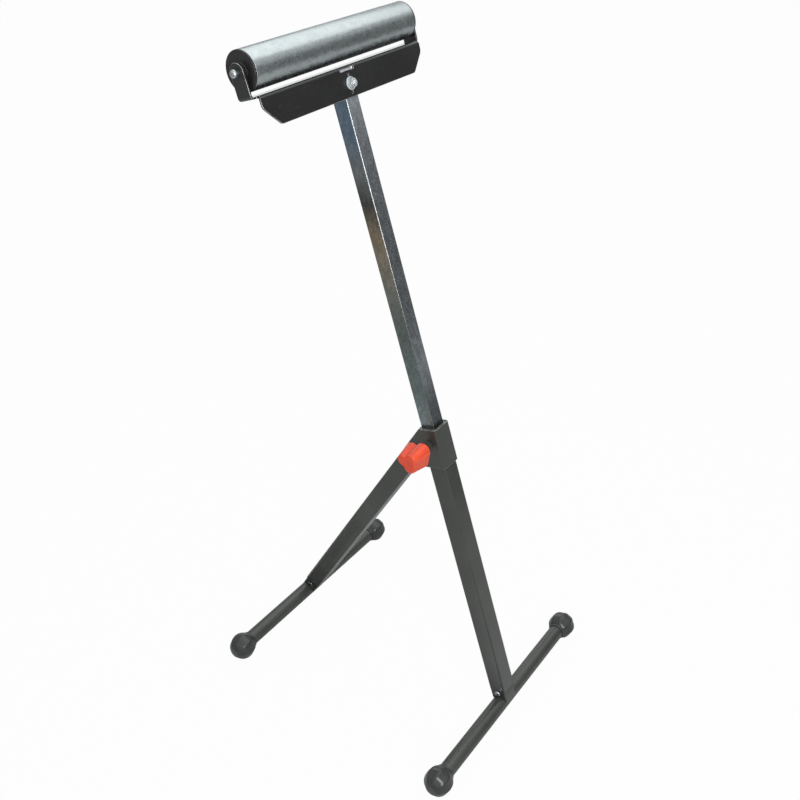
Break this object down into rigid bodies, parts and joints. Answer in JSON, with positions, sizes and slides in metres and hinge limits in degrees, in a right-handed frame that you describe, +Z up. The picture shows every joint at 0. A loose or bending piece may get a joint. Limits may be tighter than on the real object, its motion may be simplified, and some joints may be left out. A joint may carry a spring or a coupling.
{
  "type": "roller stand",
  "caption": "Folding workshop roller stand: leaning square leg and hinged rear leg on ball-footed cross bars, telescoping post, clamp knob and free-turning steel roller.",
  "frame": {"origin": "on the floor at the middle of the footprint, midway between the front and rear foot bars", "axes": "+Z up, +X along the roller, +Y from the front foot to the rear foot"},
  "size_m": [0.4228, 0.463, 1.0271],
  "materials": {
    "zinc_roller": "spangled zinc plate, faintly worn along the rolling band",
    "zinc_post": "drawn zinc-plated tube, satin",
    "bright_zinc": "bright zinc plate",
    "dark_paint": "dark grey powder coat, semi-gloss",
    "black_paint": "black powder coat, semi-gloss",
    "black_plastic": "moulded, fine grain",
    "dark_plastic": "moulded, semi-gloss",
    "orange_plastic": "moulded, satin"
  },
  "bodies": {
    "main_frame": {"main_leg": "dark_paint", "leg_guide_bush": "black_plastic", "hinge_bracket": "dark_paint", "hinge_bolt": "bright_zinc", "hinge_nut": "bright_zinc", "hinge_washer_left": "bright_zinc", "hinge_washer_right": "bright_zinc", "clamp_weld_nut": "dark_paint", "front_foot_bar": "dark_paint", "front_foot_screw": "bright_zinc", "front_foot_nut": "bright_zinc", "front_left_ball_foot": "dark_plastic", "front_right_ball_foot": "dark_plastic"},
    "mast": {"post": "zinc_post", "post_bottom_guide": "black_plastic", "head_bracket": "black_paint", "axle": "bright_zinc", "axle_cap_left": "bright_zinc", "axle_cap_right": "bright_zinc", "head_bolt": "bright_zinc", "head_nut": "bright_zinc", "head_washer_front": "bright_zinc", "head_washer_rear": "bright_zinc"},
    "roller": {"roller_tube": "zinc_roller", "roller_end_cap_left": "black_plastic", "roller_end_cap_right": "black_plastic", "roller_bush_left": "black_plastic", "roller_bush_right": "black_plastic"},
    "rear_frame": {"rear_leg": "dark_paint", "rear_foot_bar": "dark_paint", "rear_foot_screw": "bright_zinc", "rear_foot_nut": "bright_zinc", "rear_left_ball_foot": "dark_plastic", "rear_right_ball_foot": "dark_plastic"},
    "clamp": {"clamp_knob": "orange_plastic", "clamp_screw": "bright_zinc"}
  },
  "joints": [
    {"name": "post_height", "type": "slide", "parent": "main_frame", "child": "mast", "axis": [0, 0.309, 0.9511], "range_m": [-0.36, 0.055]},
    {"name": "roller_spin", "type": "hinge", "parent": "mast", "child": "roller", "pos_m": [0, 0.11259, 1.00361], "axis": [1, 0, 0], "continuous": true},
    {"name": "rear_leg_fold", "type": "hinge", "parent": "main_frame", "child": "rear_frame", "pos_m": [0, -0.03331, 0.4643], "axis": [-1, 0, 0], "range_deg": [0, 45.5]},
    {"name": "clamp_turn", "type": "hinge", "parent": "main_frame", "child": "clamp", "pos_m": [0, -0.05876, 0.48467], "axis": [-1, 0, 0], "range_deg": [0, 360]}
  ]
}
